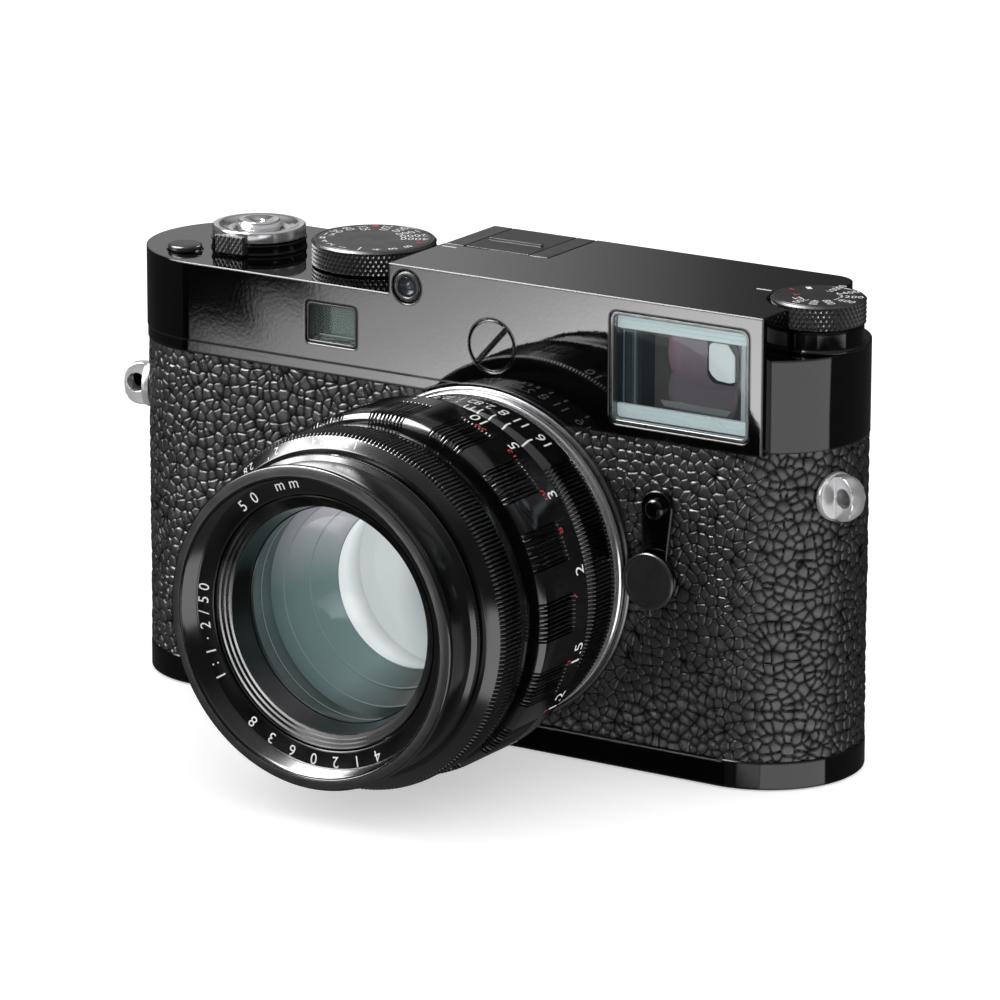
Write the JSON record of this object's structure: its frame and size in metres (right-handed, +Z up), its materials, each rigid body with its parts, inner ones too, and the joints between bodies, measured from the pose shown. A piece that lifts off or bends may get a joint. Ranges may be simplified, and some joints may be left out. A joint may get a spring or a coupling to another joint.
{
  "type": "rangefinder camera",
  "caption": "Gloss black rangefinder camera with leather covering, turning dials, sprung buttons, and a fast lens with working focus and aperture rings.",
  "frame": {"origin": "centre of the bounding box in plan, at the underside of the base plate", "axes": "+Z up from the base, the lens points along -Y, +X towards the viewfinder window end"},
  "size_m": [0.1466, 0.0886, 0.0812],
  "materials": {
    "black_paint": "gloss",
    "body_frame": "satin",
    "leather": "pebbled",
    "satin_black": "satin",
    "lens_black": "anodised black",
    "bright_metal": "polished",
    "grey_metal": "satin",
    "brass": "satin",
    "glass": "coated",
    "frosted": "frosted",
    "plastic": "matte"
  },
  "bodies": {
    "camera_body": {"base_plate": "black_paint", "top_cover": "black_paint", "slotted_cover": "black_paint", "iso_neck": "black_paint", "body_shell": "body_frame", "leather_left": "leather", "leather_right": "leather", "viewfinder_frame": "satin_black", "rangefinder_frame": "satin_black", "sensor_ring": "satin_black", "hot_shoe": "satin_black", "eyepiece_ring": "satin_black", "rear_panel": "satin_black", "viewfinder_housing": "satin_black", "fixed_scale_ring": "lens_black", "strap_lug_left": "bright_metal", "strap_lug_right": "bright_metal", "lens_base_ring": "bright_metal", "tripod_socket": "grey_metal", "mount_ring": "grey_metal", "shutter_unit": "grey_metal", "rangefinder_block": "brass", "viewfinder_glass": "glass", "viewfinder_objective": "glass", "rangefinder_glass": "glass", "sensor_lens": "glass", "eyepiece_glass": "glass", "screen_glass": "glass", "frosted_strip_top": "frosted", "frosted_strip_bottom": "frosted", "image_sensor": "plastic", "circuit_board": "plastic"},
    "shutter_button": {"shutter_button": "bright_metal"},
    "power_collar": {"power_collar": "satin_black", "collar_cap": "bright_metal"},
    "shutter_dial": {"shutter_dial": "satin_black"},
    "function_button": {"function_button": "satin_black"},
    "iso_lift": {"iso_shaft": "grey_metal"},
    "iso_dial": {"iso_dial": "satin_black"},
    "lens_release_button": {"lens_release_button": "black_paint"},
    "frame_lever": {"frame_lever": "black_paint"},
    "thumb_wheel": {"thumb_wheel": "satin_black"},
    "direction_pad": {"direction_pad": "plastic"},
    "center_button": {"center_button": "plastic"},
    "play_button": {"play_button": "plastic"},
    "menu_button": {"menu_button": "plastic"},
    "shoe_cover": {"shoe_cover": "plastic"},
    "battery": {"battery": "plastic"},
    "battery_lever": {"battery_lever": "grey_metal"},
    "focus_ring": {"focus_ring": "lens_black"},
    "lens_head": {"lens_barrel": "lens_black", "front_barrel": "black_paint", "name_ring": "lens_black", "lens_baffle": "lens_black", "front_glass": "glass", "middle_glass": "glass", "rear_glass": "glass", "rear_cell": "lens_black", "iris_diaphragm": "grey_metal"},
    "aperture_ring": {"aperture_ring": "lens_black"}
  },
  "joints": [
    {"name": "shutter_press", "type": "slide", "parent": "camera_body", "child": "shutter_button", "axis": [0, 0, -1], "range_m": [0, 0.0012], "stiffness_N_per_m": 500, "springref_m": -0.001},
    {"name": "power_turn", "type": "hinge", "parent": "camera_body", "child": "power_collar", "pos_m": [-0.0488, 0.0246, 0.0757], "axis": [0, 0, 1], "range_deg": [0, 30]},
    {"name": "shutter_dial_turn", "type": "hinge", "parent": "camera_body", "child": "shutter_dial", "pos_m": [-0.025, 0.0244, 0.0757], "axis": [0, 0, 1], "range_deg": [-300, 0]},
    {"name": "function_press", "type": "slide", "parent": "camera_body", "child": "function_button", "axis": [0, 0, -1], "range_m": [0, 0.0003], "stiffness_N_per_m": 500, "springref_m": -0.001},
    {"name": "iso_lift_slide", "type": "slide", "parent": "camera_body", "child": "iso_lift", "axis": [0, 0, 1], "range_m": [0, 0.0015], "stiffness_N_per_m": 600, "springref_m": -0.001},
    {"name": "iso_dial_turn", "type": "hinge", "parent": "iso_lift", "child": "iso_dial", "pos_m": [0.0618, 0.0246, 0.0773], "axis": [0, 0, 1], "range_deg": [-320, 0]},
    {"name": "lens_release_press", "type": "slide", "parent": "camera_body", "child": "lens_release_button", "axis": [0, 1, 0], "range_m": [0, 0.0008], "stiffness_N_per_m": 600, "springref_m": -0.001},
    {"name": "frame_lever_turn", "type": "hinge", "parent": "camera_body", "child": "frame_lever", "pos_m": [0.0409, 0.008, 0.0339], "axis": [0, -1, 0], "range_deg": [-18, 18], "stiffness_Nm_per_rad": 0.05},
    {"name": "thumb_wheel_turn", "type": "hinge", "parent": "camera_body", "child": "thumb_wheel", "pos_m": [-0.045, 0.0358, 0.0655], "axis": [0, 0, 1], "continuous": true},
    {"name": "direction_press", "type": "slide", "parent": "camera_body", "child": "direction_pad", "axis": [0, -1, 0], "range_m": [0, 0.0004], "stiffness_N_per_m": 600, "springref_m": -0.001},
    {"name": "center_press", "type": "slide", "parent": "camera_body", "child": "center_button", "axis": [0, -1, 0], "range_m": [0, 0.0004], "stiffness_N_per_m": 500, "springref_m": -0.001},
    {"name": "play_press", "type": "slide", "parent": "camera_body", "child": "play_button", "axis": [0, -1, 0], "range_m": [0, 0.0004], "stiffness_N_per_m": 500, "springref_m": -0.001},
    {"name": "menu_press", "type": "slide", "parent": "camera_body", "child": "menu_button", "axis": [0, -1, 0], "range_m": [0, 0.0004], "stiffness_N_per_m": 500, "springref_m": -0.001},
    {"name": "shoe_cover_slide", "type": "slide", "parent": "camera_body", "child": "shoe_cover", "axis": [0, 1, 0], "range_m": [0, 0.0152]},
    {"name": "battery_slide", "type": "slide", "parent": "camera_body", "child": "battery", "axis": [0, 0, -1], "range_m": [0, 0.05]},
    {"name": "battery_lever_turn", "type": "hinge", "parent": "camera_body", "child": "battery_lever", "pos_m": [-0.025, 0.025, 0.0003], "axis": [0, 0, 1], "range_deg": [-60, 0]},
    {"name": "focus_turn", "type": "hinge", "parent": "camera_body", "child": "focus_ring", "pos_m": [0.00746, 0.008, 0.03285], "axis": [0, -1, 0], "range_deg": [0, 130]},
    {"name": "focus_travel", "type": "slide", "parent": "camera_body", "child": "lens_head", "axis": [0, -1, 0], "range_m": [0, 0.0026]},
    {"name": "aperture_turn", "type": "hinge", "parent": "lens_head", "child": "aperture_ring", "pos_m": [0.00746, 0.008, 0.03285], "axis": [0, 1, 0], "range_deg": [0, 75]}
  ],
  "couplings": [
    {"joint": "focus_travel", "follows": "focus_turn", "m_per_rad": 0.001145}
  ]
}
